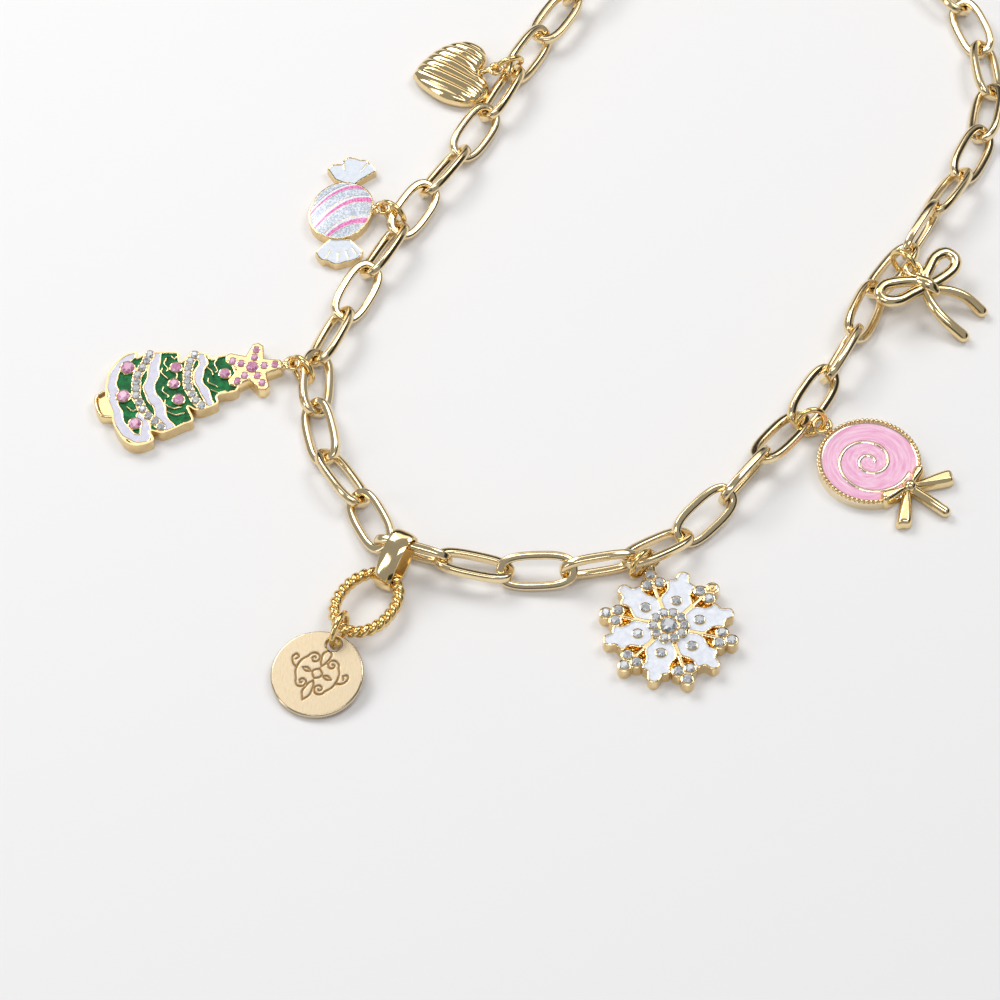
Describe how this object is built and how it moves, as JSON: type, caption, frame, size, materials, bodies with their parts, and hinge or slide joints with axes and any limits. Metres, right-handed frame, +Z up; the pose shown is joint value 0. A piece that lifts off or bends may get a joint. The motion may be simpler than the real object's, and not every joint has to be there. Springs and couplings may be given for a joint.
{
  "type": "charm necklace",
  "caption": "Closed gold oval-link chain lying flat, with enamel, fluted, engraved and wire charms on jump rings and a lobster clasp.",
  "frame": {"origin": "middle of the bounding box at table height", "axes": "+Z up from the table; +X across the neck opening to the wearer's left end of the loop as it lies; +Y towards the clasp"},
  "size_m": [0.1752, 0.194, 0.0088],
  "materials": {
    "chain_gold": "polished gold plating on flattened wire",
    "ring_gold": "polished gold plating on round wire",
    "polished_gold": "mirror-polished gold plating on a casting",
    "rope_gold": "polished gold plating on twisted wire",
    "satin_gold": "satin gold plating with a polished rim and engraved scrolls",
    "candy_enamel": "white and pink enamel in a gold casting",
    "tree_enamel": "green and white enamel in a gold casting with cut stones",
    "snowflake_enamel": "pearly white enamel in a gold casting with clear cut stones",
    "lollipop_enamel": "pink pearl enamel in a gold casting"
  },
  "bodies": {
    "root": {"link_01": "chain_gold", "link_02": "chain_gold", "link_03": "chain_gold", "link_04": "chain_gold", "link_05": "chain_gold", "link_06": "chain_gold", "link_07": "chain_gold", "link_08": "chain_gold", "link_09": "chain_gold", "link_10": "chain_gold", "link_11": "chain_gold", "link_12": "chain_gold", "link_13": "chain_gold", "link_14": "chain_gold", "link_15": "chain_gold", "link_16": "chain_gold", "link_17": "chain_gold", "link_18": "chain_gold", "link_19": "chain_gold", "link_20": "chain_gold", "link_21": "chain_gold", "link_22": "chain_gold", "link_23": "chain_gold", "link_24": "chain_gold", "link_25": "chain_gold", "link_26": "chain_gold", "link_27": "chain_gold", "link_28": "chain_gold", "link_29": "chain_gold", "link_30": "chain_gold", "link_31": "chain_gold", "link_32": "chain_gold", "link_33": "chain_gold", "link_34": "chain_gold", "link_35": "chain_gold", "link_36": "chain_gold", "link_37": "chain_gold", "link_38": "chain_gold", "clasp_ring": "ring_gold", "clasp": "polished_gold", "ring_heart": "ring_gold", "ring_candy": "ring_gold", "ring_tree": "ring_gold", "ring_snowflake": "ring_gold", "ring_lollipop": "ring_gold", "ring_bow": "ring_gold", "ring_disc": "ring_gold", "rope_link": "rope_gold", "bail": "polished_gold", "heart": "polished_gold", "candy": "candy_enamel", "tree": "tree_enamel", "snowflake": "snowflake_enamel", "lollipop": "lollipop_enamel", "bow": "polished_gold", "disc": "satin_gold"}
  },
  "joints": []
}
